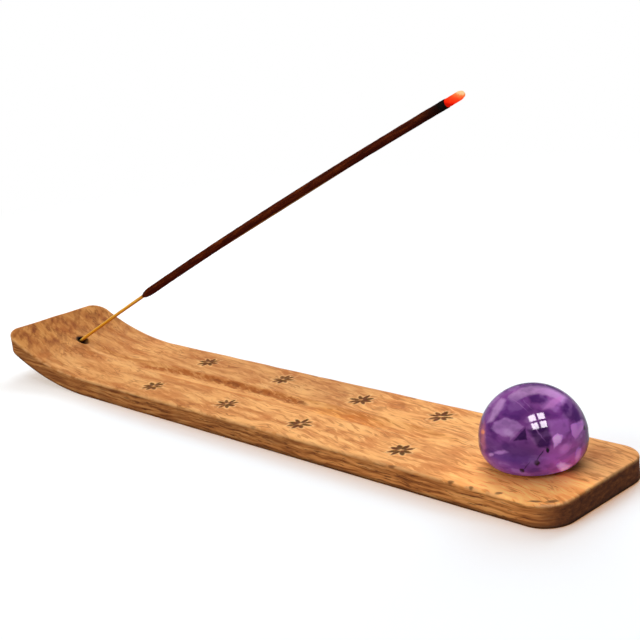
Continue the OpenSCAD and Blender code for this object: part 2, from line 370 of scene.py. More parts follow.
def board_mesh():
    """The board as one closed skin: carved top, side walls and a plain underside."""
    xs, shares = board_lines()
    nx, ny = len(xs), len(shares)
    x = np.repeat(xs[:, None], ny, axis=1)
    y = shares[None, :] * half_width(xs)[:, None]
    z = board_surface(x, y)
    top = np.stack([x, y, z], axis=-1).reshape(-1, 3)
    faces = []
    for i in range(nx - 1):
        for j in range(ny - 1):
            a = i * ny + j
            faces.append((a, a + ny, a + ny + 1, a + 1))

    def rim_index(i, j):
        """Place on the outline of grid column i and line j, anticlockwise from above."""
        if j == 0:
            return i
        if i == nx - 1:
            return nx - 1 + j
        if j == ny - 1:
            return nx - 1 + ny - 1 + nx - 1 - i
        return 2 * (nx - 1) + ny - 1 + ny - 1 - j

    rim = [i * ny for i in range(nx)] + [(nx - 1) * ny + j for j in range(1, ny)]
    rim += [i * ny + ny - 1 for i in range(nx - 2, -1, -1)] + list(range(ny - 2, 0, -1))
    count = len(rim)
    edge = top[rim]
    walls = wall_rings(edge)
    verts = [top] + walls
    first = len(top)
    starts = [first + k * count for k in range(len(walls))]
    rings = [rim] + [list(range(start, start + count)) for start in starts]
    for upper, lower in zip(rings, rings[1:]):
        for m in range(count):
            n = (m + 1) % count
            faces.append((upper[m], lower[m], lower[n], upper[n]))

    last = rings[-1]
    kept = sorted(set(np.linspace(0, ny - 1, UNDER_LINES).astype(int)))
    floor_first = first + len(walls) * count
    inner = []
    shrink_x, shrink_y = 1 - WALL_FOOT_R / END_X, 1 - WALL_FOOT_R / HALF_W
    for i in range(1, nx - 1):
        for j in kept[1:-1]:
            fx, fy = x[i, j] * shrink_x, y[i, j] * shrink_y
            inner.append((fx, fy, float(under_z(fx))))
    verts.append(np.array(inner))

    def floor_index(i, j):
        if i in (0, nx - 1) or j in (0, ny - 1):
            return last[rim_index(i, j)]
        return floor_first + (i - 1) * (len(kept) - 2) + kept.index(j) - 1

    for i in range(nx - 1):
        for ja, jb in zip(kept, kept[1:]):
            left = range(ja, jb + 1) if i == 0 else (ja, jb)
            right = range(jb, ja - 1, -1) if i == nx - 2 else (jb, ja)
            corners = [floor_index(i, j) for j in left]
            corners += [floor_index(i + 1, j) for j in right]
            faces.append(tuple(corners))
    return np.concatenate(verts), faces


def wall_rings(edge):
    """Rings of points from the top's edge down the walls to the underside."""
    x, y, top = edge[:, 0], edge[:, 1], edge[:, 2]
    foot = under_z(x) + WALL_FOOT_R
    inward = np.stack([x / END_X, y / HALF_W], axis=-1)
    inward[:, 0] = np.sign(x) * smooth(np.abs(x), END_X - END_CORNER_R, END_X)
    rings = []
    for k in range(1, WALL_ROWS + 1):
        share = k / WALL_ROWS
        z = top + (foot - top) * share
        cover = math.sin(math.pi * share)
        ridge = noise_at(x, y, z, (34, 34, 0.75), 7)
        crack = np.exp(-((noise_at(x, y, z, (40, 40, 1.3), 8)) / 0.07) ** 2)
        shown = smooth(noise_at(x, y, 0 * x, (22, 22, 1), 9), 0, 0.5)
        deep = cover * (WALL_RIDGE * (1 + ridge) + WALL_CRACK * crack * shown)
        rings.append(np.stack([x - inward[:, 0] * deep, y - inward[:, 1] * deep, z], axis=-1))
    for k in range(1, FOOT_ROWS + 1):
        angle = math.pi / 2 * k / FOOT_ROWS
        share = (1 - math.cos(angle)) * WALL_FOOT_R
        fx, fy = x * (1 - share / END_X), y * (1 - share / HALF_W)
        low = under_z(fx) + WALL_FOOT_R * (1 - math.sin(angle))
        rings.append(np.stack([fx, fy, low], axis=-1))
    return rings


def bore_tool():
    """The shape that the drill and the hot iron took out of the raised end."""
    flare = (MOUTH_W - HOLE_D) / (2 * MOUTH_DEPTH)
    above = MOUTH_W
    outline = [
        (0.0, -HOLE_DEPTH),
        (HOLE_D / 2, -HOLE_DEPTH),
        (HOLE_D / 2, -MOUTH_DEPTH),
        (HOLE_D / 2 + flare * MOUTH_DEPTH * 0.5, -MOUTH_DEPTH * 0.5),
        (MOUTH_W / 2, 0.0),
        (MOUTH_W / 2 + flare * above, above),
        (0.0, above),
    ]
    rings = [turned_ring(HOLE_AT + HOLE_DIR * s, HOLE_OUT, r, BORE_SEGMENTS) for r, s in outline]
    return turned_mesh(rings)


ALONG_X, ALONG_Y = np.array([1.0, 0.0, 0.0]), np.array([0.0, 1.0, 0.0])


def turned_ring(centre, out, radius, segments, bump=0.0, side=ALONG_Y):
    """Points round a centre, or the centre itself where the radius is zero."""
    if radius == 0:
        return np.array([centre])
    turn = np.arange(segments) * math.tau / segments
    r = radius + bump
    return centre + (r * np.cos(turn))[:, None] * side + (r * np.sin(turn))[:, None] * out


def stick_ring(radius, at, segments, bump=None):
    """Points round the bent stick at a length along it from its lower end."""
    turn = (at + STICK_SEAT - HOLE_DEPTH) / STICK_BEND_R
    out = HOLE_OUT * math.cos(turn) + HOLE_DIR * math.sin(turn)
    centre = BEND_CENTRE + out * STICK_BEND_R
    around = np.arange(segments) * math.tau / segments
    return turned_ring(centre, out, radius, segments, bump(around, at) if bump else 0.0)


def turned_mesh(rings):
    """Joins rings of points, of which the first and last may be single points."""
    verts, faces = np.concatenate(rings), []
    starts = np.concatenate([[0], np.cumsum([len(r) for r in rings])])
    for k, (a, b) in enumerate(zip(rings, rings[1:])):
        sa, sb = starts[k], starts[k + 1]
        count = max(len(a), len(b))
        for m in range(count):
            n = (m + 1) % count
            if len(a) == 1:
                faces.append((sa, sb + m, sb + n))
            elif len(b) == 1:
                faces.append((sb, sa + n, sa + m))
            else:
                faces.append((sa + m, sb + m, sb + n, sa + n))
    return verts, [tuple(int(v) for v in f) for f in faces]


def facing_out(obj):
    """Turns every face outwards."""
    bm = bmesh.new()
    bm.from_mesh(obj.data)
    bmesh.ops.recalc_face_normals(bm, faces=bm.faces)
    bm.to_mesh(obj.data)
    bm.free()


def cut(obj, tool):
    """Takes one closed shape out of another."""
    facing_out(tool)
    modifier = obj.modifiers.new("bore", "BOOLEAN")
    modifier.operation = "DIFFERENCE"
    modifier.solver = "EXACT"
    modifier.object = tool
    bpy.context.view_layer.objects.active = obj
    bpy.ops.object.modifier_apply(modifier=modifier.name)
    bpy.data.objects.remove(tool)


# Soot on the rim of the hole: how far its middle lies behind the hole, and its half
# length and half width
SOOT_BACK, SOOT_LONG, SOOT_WIDE = 0.9, 2.3, 1.5
# Height of the painted contact shadow along the foot of the walls
FOOT_SHADE_H = 1.6


def mark_board(board):
    """Stores where the wood is burnt, rimmed, sooty, worn, wall or end grain, and the walls' foot
    that takes painted shade.
    """
    p = points_mm(board)
    x, y, z = p.T
    across, along = hole_radius(x, y, z)
    upper = z > top_z(x) - GROOVE_DEPTH - PETAL_DEPTH - 0.5
    _, burnt, rim = petal_marks(x, y)
    mouth = 1 - smooth(across, MOUTH_W / 2 - 0.05, MOUTH_W / 2 + 0.55)
    mouth *= (along > -HOLE_DEPTH - 0.2) & (z > under_z(x) + 0.8)
    set_share(board, "burn", np.maximum(burnt * upper, mouth))
    set_share(board, "petal_rim", rim * upper)
    core = np.hypot((x - HOLE_X + SOOT_BACK) / SOOT_LONG, y / SOOT_WIDE)
    inside = 1 - smooth(across, MOUTH_W / 2 - 0.5, MOUTH_W / 2 - 0.1)
    set_share(board, "soot", np.maximum(1 - smooth(core, 0.7, 1.1), inside) * (mouth > 0))
    gap = edge_distance(x, y)
    below = top_z(x) - z
    wall = smooth(below, 0.25, 1.1) * (1 - smooth(gap, 0.5, 0.9))
    set_share(board, "wall", wall)
    ends = smooth(x, END_X - 0.75 * END_CORNER_R, END_X - 0.08 * END_CORNER_R)
    tips = smooth(-x, -TIP_X - 0.5 * TIP_CORNER_R, -TIP_X)
    set_share(board, "end_grain", np.maximum(ends, tips) * wall)
    above = z - under_z(x)
    set_share(board, "foot", wall * (1 - smooth(above, 0.25, FOOT_SHADE_H)))
    worn = (1 - smooth(gap, 0.15, 0.95)) * (1 - smooth(below, 0.25, 1.2))
    set_share(board, "worn", worn)


# The nodes of a material

class Painter:
    """Adds nodes to a new material of the given name, or to a given world."""

    def __init__(self, home):
        self.home = bpy.data.materials.new(home) if isinstance(home, str) else home
        self.home.use_nodes = True
        self.tree = self.home.node_tree
        self.tree.nodes.clear()
        self.spot = None

    def add(self, kind, inputs=(), **settings):
        """A new node with its inputs, by name or number, and its settings."""
        node = self.tree.nodes.new(kind)
        for key, value in settings.items():
            setattr(node, key, value)
        for key, value in dict(inputs).items():
            self.feed(node.inputs[key], value)
        return node

    def feed(self, socket, value):
        """Links another node's output to the socket, or sets it to a constant."""
        if isinstance(value, bpy.types.NodeSocket):
            self.tree.links.new(value, socket)
            return
        if not isinstance(value, (int, float)):
            value = tuple(value)
            if len(value) == 3 and len(socket.default_value) == 4:
                value = value + (1.0,)
        socket.default_value = value

    def place(self):
        """The point on the object, in millimetres."""
        if self.spot is None:
            where = self.add("ShaderNodeTexCoord").outputs["Object"]
            self.spot = self.vector("MULTIPLY", where, (1 / MM,) * 3)
        return self.spot

    def math(self, operation, a, b=0.0, c=0.0):
        return self.add("ShaderNodeMath", {0: a, 1: b, 2: c}, operation=operation).outputs[0]

    def times(self, a, b):
        return self.math("MULTIPLY", a, b)

    def plus(self, a, b):
        return self.math("ADD", a, b)

    def minus(self, a, b):
        return self.math("SUBTRACT", a, b)

    def joined(self, *parts):
        """Coordinates made of two or three numbers."""
        return self.add("ShaderNodeCombineXYZ", dict(enumerate(parts))).outputs[0]

    def parts(self, where):
        return self.add("ShaderNodeSeparateXYZ", {0: where}).outputs

    def vector(self, operation, a, b=(0, 0, 0)):
        made = self.add("ShaderNodeVectorMath", {0: a, 1: b}, operation=operation)
        return made.outputs["Value" if operation in ("LENGTH", "DOT_PRODUCT") else "Vector"]

    def stretched(self, where, lengths, shift=(0, 0, 0)):
        """Coordinates in which each length counts as one unit."""
        moved = self.vector("ADD", where, shift)
        return self.vector("DIVIDE", moved, lengths)

    def turned(self, where, degrees):
        """Coordinates turned about the vertical, so that a streak slants by as much."""
        inputs = {"Vector": where, "Angle": math.radians(-degrees)}
        made = self.add("ShaderNodeVectorRotate", inputs, rotation_type="Z_AXIS")
        return made.outputs["Vector"]

    def ridge(self, value, level, half):
        """1 where the value is at the level, down to 0 at half away from it."""
        away = self.math("ABSOLUTE", self.minus(value, level))
        return self.remap(away, half, half * 0.25)

    def between(self, value, low, high, soft):
        """1 from low to high, and 0 further out than soft from them."""
        rise = self.remap(value, low - soft, low)
        fall = self.remap(value, high + soft, high)
        return self.times(rise, fall)

    def noise(self, where, lengths, shift=(0, 0, 0), detail=2.0, rough=0.5, colour=False):
        """Noise from 0 to 1 in which each length counts as one unit."""
        inputs = {"Vector": self.stretched(where, lengths, shift), "Scale": 1.0}
        inputs.update({"Detail": detail, "Roughness": rough})
        return self.add("ShaderNodeTexNoise", inputs).outputs["Color" if colour else "Fac"]

    def swayed(self, where, by, reach):
        """The place moved to and fro by coloured noise, half of reach each way."""
        by = self.vector("SUBTRACT", by, (0.5,) * 3)
        return self.vector("ADD", where, self.vector("MULTIPLY", by, reach))

    def cells(self, where, feature="F1"):
        """The distance and colour of cells about one unit across."""
        inputs = {"Vector": where, "Scale": 1.0}
        return self.add("ShaderNodeTexVoronoi", inputs, feature=feature).outputs

    def remap(self, value, low, high, to_low=0.0, to_high=1.0):
        """Eased change from to_low to to_high as value goes from low to high."""
        inputs = {0: value, 1: low, 2: high, 3: to_low, 4: to_high}
        made = self.add("ShaderNodeMapRange", inputs, interpolation_type="SMOOTHSTEP")
        return made.outputs[0]

    def mix(self, share, a, b, mode="MIX"):
        """Colour a where the share is 0 and colour b where it is 1."""
        inputs = {"Factor": share, 6: a, 7: b}
        made = self.add("ShaderNodeMix", inputs, data_type="RGBA", blend_type=mode)
        return made.outputs[2]

    def multiplied(self, a, b):
        """Colour a times colour b."""
        return self.mix(1.0, a, b, "MULTIPLY")

    def tint(self, colour, value, low, high, strength, shade):
        """The colour, drawn to a screen colour as value goes from low to high."""
        return self.mix(self.remap(value, low, high, 0.0, strength), colour, srgb(*shade))

    def ramp(self, value, stops):
        """Colours along a value, where each stop is its place and a screen colour."""
        made = self.add("ShaderNodeValToRGB", {"Fac": value})
        bar = made.color_ramp
        while len(bar.elements) < len(stops):
            bar.elements.new(0.5)
        for element, (at, *shade) in zip(bar.elements, stops):
            element.position = at
            element.color = (*srgb(*shade), 1.0)
        return made.outputs["Color"]

    def share(self, name):
        """A number stored on the mesh's points."""
        made = self.add("ShaderNodeAttribute", attribute_name=name)
        return made.outputs["Fac"]

    def bump(self, height, distance_mm, strength):
        """The normal of a surface that a height from 0 to 1 raises by a distance."""
        inputs = {"Height": height, "Strength": strength, "Distance": distance_mm * MM}
        return self.add("ShaderNodeBump", inputs).outputs["Normal"]

    def shader(self, **inputs):
        """The Principled shader that the material shows."""
        names = {key.replace("_", " ").title(): value for key, value in inputs.items()}
        names = {key.replace("Ior", "IOR"): value for key, value in names.items()}
        return self.show(self.add("ShaderNodeBsdfPrincipled", names))

    def show(self, shader, kind="ShaderNodeOutputMaterial"):
        """Joins a shader to the output, and gives the finished material or world."""
        self.add(kind, {"Surface": shader.outputs[0]})
        return self.home


def srgb(red, green, blue):
    """A colour as a screen shows it, from 0 to 255, as the linear colour of a node."""
    def linear(value):
        share = value / 255
        return share / 12.92 if share <= 0.04045 else ((share + 0.055) / 1.055) ** 2.4
    return (linear(red), linear(green), linear(blue))


# Dark chips along the near top edge and the corner, and a dark fleck near the dome:
# place along and across the board, half sizes, turn in degrees, softness and strength
EDGE_SPOTS = [
    (75.0, -22.3, 1.5, 0.5, 8, 0.5, 0.70), (96.5, -22.2, 0.9, 0.6, 20, 0.5, 0.75),
    (103.5, -22.2, 0.7, 0.5, -15, 0.5, 0.70), (112.0, -21.2, 1.1, 0.6, 25, 0.5, 0.75),
    (123.0, -20.4, 1.6, 0.6, 24, 0.6, 0.80), (126.6, -18.2, 1.6, 0.8, 48, 0.6, 0.80),
    (50.5, -1.7, 0.8, 0.6, -10, 0.6, 0.60), (16.0, -22.3, 1.2, 0.4, 0, 0.6, 0.45),
]


def wood_material():
    """Golden hardwood with wavy figure, darker walls, end grain, wear and burn marks, with
    painted shade along the walls' foot and painted light and shade on the top and in the groove.
    """
    p = Painter("carved_hardwood")
    at = p.place()
    grain = wavy_grain(p, at)
    colour, fibre, dash = face_grain(p, at, grain)
    colour = groove_grain(p, at, grain, colour)
    wall = p.share("wall")
    colour = p.mix(wall, colour, wall_grain(p, at, grain))
    colour = p.mix(p.share("end_grain"), colour, end_grain(p, at))
    x = p.parts(at)[0]
    # Painted shade: a dark contact shadow along the foot of the walls, stronger towards the dome
    # end
    foot = p.times(p.share("foot"), p.remap(x, -40, 60, 0.60, 0.95))
    colour = p.mix(foot, colour, srgb(54, 26, 10))
    patchy = p.remap(p.noise(at, (4, 3, 3), (8, 8, 8), 3.0), 0.38, 0.56, 0.0, 0.6)
    colour = p.mix(p.times(p.share("worn"), patchy), colour, srgb(236, 178, 116))
    colour = burnt_marks(p, at, colour)
    near_top = p.vector("SUBTRACT", at, (0, 0, BOARD_T))
    for spot in EDGE_SPOTS:
        colour = p.mix(zone_mask(p, near_top, spot), colour, srgb(96, 54, 24))
    rough = p.remap(wall, 0.0, 1.0, 0.55, 0.80)
    height = p.plus(p.times(fibre, 0.5), p.times(dash, 0.5))
    normal = p.bump(height, 0.07, 0.7)
    return p.shader(base_color=colour, roughness=rough, normal=normal, specular_ior_level=0.18)


def wavy_grain(p, at):
    """The grain's coordinates, which sway gently and ripple round small knots."""
    sway = p.noise(at, (48, 22, 22), detail=1.0, colour=True)
    ripple = p.noise(at, (8, 5, 5), (31, 7, 3), 1.5, colour=True)
    return p.swayed(p.swayed(at, sway, (0, 8, 5)), ripple, (0, 2.6, 1.2))


def face_grain(p, at, grain):
    """Colour of the top, with its fine fibres, its short dark dashes and painted light and shade.
    """
    x, y, _ = p.parts(at)
    slant = p.turned(grain, -4)
    dashed = p.turned(grain, -11)
    broad = p.noise(slant, (26, 3.2, 5.0), detail=3.0, rough=0.55)
    cloud = p.noise(at, (15, 7, 7), (13, 4, 2))
    dash = p.noise(dashed, (7.0, 1.05, 2.2), (5, 2, 9), 2.0, 0.55)
    fibre = p.noise(dashed, (3.6, 0.42, 0.9), (3, 8, 1), 2.0, 0.6)
    figure = p.noise(slant, (15, 2.2, 3.0), (7, 1, 4))

    colour = p.ramp(broad, [
        (0.34, 190, 120, 62),
        (0.44, 209, 142, 80),
        (0.54, 223, 160, 95),
        (0.66, 233, 174, 109),
    ])
    colour = p.tint(colour, cloud, 0.50, 0.66, 0.70, (192, 116, 56))
    colour = p.tint(colour, cloud, 0.46, 0.32, 0.50, (236, 172, 104))
    dark, light = p.remap(x, -45, 5, 0.45, 0.68), p.remap(x, -45, 5, 0.40, 0.60)
    colour = p.tint(colour, dash, 0.54, 0.66, dark, (176, 104, 46))
    colour = p.tint(colour, dash, 0.45, 0.34, light, (240, 180, 112))
    shown = p.remap(p.noise(at, (12, 7, 7), (2, 9, 5), 1.0), 0.46, 0.60)
    line = p.times(p.ridge(figure, 0.50, 0.035), shown)
    colour = p.mix(p.times(line, 0.55), colour, srgb(150, 84, 34))
    colour = p.tint(colour, fibre, 0.60, 0.72, 0.25, (156, 90, 40))

    # The raised end browner: partly its deeper tone, partly painted shade where it tilts away
    # from the light
    raised = p.remap(x, TOP_X - 8, TIP_X + 6)
    flecks = p.noise(p.turned(at, -32), (7.0, 2.2, 3.4), (2, 5, 4))
    browner_and_shaded = p.mix(p.remap(flecks, 0.46, 0.64), srgb(226, 212, 180), srgb(186, 158, 118))
    colour = p.mix(raised, colour, p.multiplied(colour, browner_and_shaded))
    # Painted light: the top darker at the tip end and brighter towards the dome end
    paler = p.mix(p.remap(x, -70, 80), (0.93, 0.92, 0.90), (1.16, 1.16, 1.13))
    # Painted light on the near corner before the dome, where its shadow falls; the far side of
    # the middle darker; painted shade of the dome behind it
    places = [
        (p.remap(x, 84, 104), p.remap(y, 2, -6), (1.60, 1.56, 1.38)),
        (p.between(x, -60, 20, 20), p.remap(y, -2, 12), (0.86, 0.83, 0.80)),
        (p.remap(x, 104, 118), p.remap(y, -2, 7), (1.00, 0.95, 0.88)),
    ]
    for along, across, light in places:
        paler = p.mix(p.times(along, across), paler, light)
    return p.multiplied(colour, paler), fibre, dash


def groove_grain(p, at, grain, colour):
    """Painted shade on the groove's far wall and its rim, painted light on its near wall, a
    darker near lip, and orange wood where it runs out.
    """
    parts = p.parts(at)
    x = parts[0]
    wave = p.noise(at, (7, 5, 60), (4, 0, 0), 3.0, 0.6)
    wave = p.times(p.minus(wave, 0.5), 4.5)
    y = p.plus(parts[1], wave)
    middle = p.plus(p.remap(x, -72, -46, 0.4, 2.6), p.remap(x, -16, 18, 0.0, -0.9))
    off = p.minus(y, middle)
    slanted = p.turned(grain, -16)
    streaks = p.noise(slanted, (5, 0.8, 30), (6, 6, 6), 2.0, 0.6)
    streaky = p.remap(streaks, 0.36, 0.60, 0.25, 1.0)
    broken = p.remap(p.noise(at, (4, 9, 9), (1, 1, 7), 1.0), 0.40, 0.54)
    rim = p.math("MULTIPLY_ADD", x, -0.123, p.minus(parts[1], 12.1))
    # Bands: limits and softness across the board and along it, strength and colour. They are the
    # painted shade of the far wall, the thin dark line in it, the painted light of the near wall,
    # the painted shade of the rim up to the raised end, and the near lip
    bands = [
        ((off, -0.9, 0.9, 0.7), (-70, 10, 7), streaky, (168, 94, 38)),
        ((off, -0.25, 0.35, 0.5), (-32, 12, 5), p.times(broken, 0.80), (132, 68, 24)),
        ((y, -2.9, -1.2, 0.8), (-60, 30, 9), 0.45, (240, 176, 104)),
        ((rim, -0.2, 0.3, 0.5), (-103, -72, 5), 0.55, (176, 104, 48)),
        ((y, -4.9, -4.0, 0.7), (-50, 14, 9), 0.55, (196, 116, 52)),
    ]
    for across, along, strength, shade in bands:
        share = p.times(p.between(*across), p.between(x, *along))
        colour = p.mix(p.times(share, strength), colour, srgb(*shade))
    orange = p.times(p.between(y, -1.6, 1.6, 1.6), p.between(x, 26, 46, 10))
    warm = p.multiplied(colour, srgb(255, 240, 196))
    return p.mix(p.times(orange, p.remap(streaks, 0.36, 0.60, 0.35, 0.90)), colour, warm)


def wall_grain(p, at, grain):
    """Colour of the sawn side walls: layered brown wood with dark cracks, with painted light that
    grows towards the dome end.
    """
    layer = p.noise(grain, (13, 13, 0.85), (1, 6, 2), 3.0, 0.6)
    side = p.ramp(layer, [
        (0.34, 136, 76, 32),
        (0.46, 186, 114, 56),
        (0.56, 212, 140, 74),
        (0.70, 232, 166, 98),
    ])
    broken = p.noise(grain, (5.5, 5.5, 0.55), (9, 3, 6), 3.0, 0.6)
    x = p.parts(at)[0]
    broken = p.times(p.remap(broken, 0.56, 0.66), p.remap(x, -90, 10, 0.45, 0.78))
    side = p.mix(broken, side, srgb(84, 42, 18))
    patch = p.noise(at, (14, 14, 4), (3, 3, 8))
    side = p.tint(side, patch, 0.48, 0.66, 0.5, (150, 88, 42))
    # Painted light: the walls darker up to the middle and brighter towards the dome end
    paler = p.mix(p.remap(x, 0, 70), (0.84, 0.82, 0.80), (1.14, 1.12, 1.10))
    return p.multiplied(side, paler)


def end_grain(p, at):
    """Colour of the cut end: dark mottled wood."""
    mottle = p.noise(at, (1.6, 2.4, 1.1), detail=4.0, rough=0.65)
    return p.ramp(mottle, [
        (0.34, 112, 56, 20),
        (0.52, 148, 80, 30),
        (0.70, 178, 104, 46),
    ])


def burnt_marks(p, at, colour):
    """Scorched wood at the flowers and round the hole."""
    burn = p.share("burn")
    uneven = p.noise(at, (0.9,) * 3, (5, 5, 5))
    burn = p.times(burn, p.remap(uneven, 0.30, 0.60, 0.75, 1.1))
    tint = p.noise(at, (1.7,) * 3, (2, 3, 5), 1.0)
    dark = p.mix(p.remap(tint, 0.42, 0.58), srgb(104, 52, 24), srgb(92, 60, 20))
    pale = p.times(p.share("petal_rim"), p.remap(uneven, 0.40, 0.60, 0.10, 0.60))
    colour = p.mix(pale, colour, srgb(242, 196, 132))
    colour = p.tint(colour, burn, 0.06, 0.50, 0.80, (150, 94, 40))
    colour = p.mix(p.remap(burn, 0.30, 0.75, 0.0, 0.92), colour, dark)
    return p.mix(p.share("soot"), colour, srgb(26, 12, 6))


# The point in the stone from which its veils are placed, and the directions to the
# right, up and towards someone who looks at it from the front right
STONE_MIDDLE_H = 8.6
STONE_MIDDLE = (DOME_X, 0.0, DOME_BASE_Z + STONE_MIDDLE_H)
STONE_RIGHT = (0.7973, 0.6016, -0.0495)
STONE_UP = (-0.1850, 0.3216, 0.9286)
STONE_TOWARDS = (0.5745, -0.7312, 0.3677)

LILAC, PINK = (184, 136, 190), (186, 118, 184)
DEEP, BLACK_PURPLE = (70, 22, 98), (50, 8, 74)

# Flat veils inside the stone, drawn as seen from the front right: the corners of each
# in hundredths of its radius, anticlockwise, and its softness, strength and colour
VEILS = [
    ([(-8, 62), (-2, 50), (15, 49), (27, 53), (25, 64), (7, 67)], 0.08, 0.85, DEEP),
    ([(19, 40), (36, 42), (50, 55), (54, 64), (34, 58)], 0.06, 0.85, PINK),
    ([(50, 44), (55, 26), (69, 16), (82, 24), (86, 36), (66, 65)], 0.12, 0.92, (66, 20, 88)),
    # A painted highlight: the pale streak down the left side
    (
        [(-80, 16), (-70, 18), (-56, 38), (-48, 56), (-56, 60), (-70, 42)],
        0.07, 0.85, (196, 146, 204),
    ),
    (
        [(-74, 5), (-63, -3), (-46, -10), (-25, 2), (-16, 9), (-33, 21), (-50, 24), (-68, 15)],
        0.05, 0.80, (184, 128, 196),
    ),
    ([(-40, -17), (-34, -12), (-17, 9), (-22, 6), (-38, -9)], 0.03, 0.40, (186, 132, 196)),
    ([(-33, -16), (-10, -14), (-13, 7)], 0.03, 0.95, BLACK_PURPLE),
    ([(-8, 3), (9, -28), (28, -28), (32, -11), (25, 13)], 0.07, 0.90, BLACK_PURPLE),
    ([(27, 21), (34, -12), (48, -18), (64, 1), (61, 22)], 0.06, 0.70, (166, 100, 178)),
    ([(34, -12), (37, -28), (48, -18), (50, -8), (42, -4)], 0.06, 0.95, (244, 184, 250)),
    ([(66, 11), (68, -5), (74, -12), (91, 9), (90, 22)], 0.05, 0.85, (214, 140, 222)),
    ([(42, -60), (50, -72), (62, -68), (65, -60), (48, -55)], 0.08, 0.92, (222, 180, 252)),
]
# Soft zones that lie under the veils: place to the right and up, half sizes, turn in
# degrees, softness, strength and colour
ZONES = [
    (-0.35, 0.40, 0.28, 0.20, 10, 0.60, 0.70, (96, 44, 124)),
    (0.55, -0.42, 0.42, 0.30, 0, 0.60, 0.85, (160, 80, 162)),
    (-0.25, -0.42, 0.34, 0.26, 0, 0.70, 0.70, (92, 44, 116)),
    (-0.62, -0.42, 0.20, 0.22, 0, 0.70, 0.55, (112, 56, 134)),
    (0.22, -0.78, 0.22, 0.06, 8, 0.60, 0.60, (98, 62, 160)),
]
# Small zones, specks and cracks that lie over them, with a painted reflection and a painted
# highlight among them, in the same form
SPECKS = [
    (-0.93, -0.05, 0.08, 0.30, 0, 0.60, 0.80, (196, 112, 136)),
    # A painted reflection of the wood on the left rim
    (-0.90, -0.01, 0.035, 0.045, 30, 0.50, 0.90, (250, 150, 112)),
    (-0.57, -0.37, 0.11, 0.028, 4, 0.60, 0.95, (184, 124, 196)),
    (-0.74, -0.41, 0.045, 0.035, 20, 0.50, 0.95, (190, 134, 200)),
    (0.56, -0.28, 0.11, 0.06, 40, 0.60, 0.75, (196, 122, 200)),
    (0.79, -0.40, 0.035, 0.11, -15, 0.60, 0.80, (196, 136, 240)),
    # A painted highlight: the pale streak at the right rim
    (0.97, 0.23, 0.022, 0.16, 22, 0.50, 0.85, (196, 170, 224)),
    (-0.42, -0.02, 0.10, 0.05, -25, 0.60, 0.60, (208, 162, 218)),
    (0.07, 0.02, 0.012, 0.20, 37, 0.60, 0.55, (168, 108, 182)),
    (-0.22, 0.47, 0.010, 0.16, 48, 0.50, 0.60, (164, 104, 176)),
    (-0.09, 0.48, 0.009, 0.11, 46, 0.50, 0.50, (164, 104, 176)),
    (0.94, 0.08, 0.045, 0.058, -20, 0.40, 1.0, (10, 0, 14)),
    (0.25, -0.32, 0.034, 0.042, 0, 0.40, 1.0, (16, 0, 26)),
    (0.06, -0.55, 0.050, 0.046, 0, 0.40, 1.0, (10, 0, 16)),
    (-0.20, -0.69, 0.042, 0.036, 0, 0.40, 1.0, (12, 0, 20)),
    (0.11, -0.43, 0.011, 0.12, -32, 0.40, 0.80, (40, 10, 56)),
    (-0.12, -0.60, 0.010, 0.11, -40, 0.40, 0.70, (40, 10, 56)),
]
# The pale crescent under the crown, a painted reflection of a lamp: its centre, radii and the
# angles between which it lies, in degrees from the right
CRESCENT_AT, CRESCENT_INNER, CRESCENT_OUTER = (0.10, 0.07), 0.615, 0.745
CRESCENT_FROM, CRESCENT_TO = 48, 132


def zone_mask(p, where, zone):
    """Share of one oval zone of the stone, where `where` holds right and up."""
    right, up, half_right, half_up, turn, soft, strength = zone
    inputs = {"Vector": where, "Location": (right, up, 0), "Scale": (half_right, half_up, 1)}
    inputs["Rotation"] = (0, 0, math.radians(turn))
    oval = p.add("ShaderNodeMapping", inputs, vector_type="TEXTURE")
    away = p.vector("LENGTH", oval.outputs[0])
    return p.remap(away, 1 + soft, 1 - soft, 0.0, strength)


def veil_mask(p, where, corners, soft, strength):
    """Share of one flat veil with straight edges, whose corners go anticlockwise."""
    corners = [(x / 100, y / 100) for x, y in corners]
    least = None
    for (x0, y0), (x1, y1) in zip(corners, corners[1:] + corners[:1]):
        length = math.hypot(x1 - x0, y1 - y0)
        inward = ((y0 - y1) / length, (x1 - x0) / length, 0.0)
        reach = p.vector("DOT_PRODUCT", where, inward)
        depth = p.minus(reach, x0 * inward[0] + y0 * inward[1])
        least = depth if least is None else p.math("MINIMUM", least, depth)
    return p.remap(least, -soft / 2, soft / 2, 0.0, strength)


def crescent_mask(p, where):
    """Share of the pale crescent, a painted reflection, which fades out at its two ends."""
    offset = p.vector("SUBTRACT", where, (*CRESCENT_AT, 0.0))
    parts = p.parts(offset)
    angle = p.times(p.math("ARCTAN2", parts[1], parts[0]), 180 / math.pi)
    ring = p.between(p.vector("LENGTH", offset), CRESCENT_INNER, CRESCENT_OUTER, 0.045)
    return p.times(ring, p.between(angle, CRESCENT_FROM, CRESCENT_TO, 7))


def mottled(p, at, colour, strength):
    """The stone's colour with small paler and darker patches."""
    mottle = p.noise(at, (0.34, 0.34, 0.20), (4, 2, 7))
    pale = p.remap(mottle, 0.52, 0.68, 0.0, 0.40 * strength)
    dark = p.remap(mottle, 0.48, 0.32, 0.0, 0.60 * strength)
    return p.mix(dark, p.mix(pale, colour, srgb(176, 118, 188)), srgb(*DEEP))


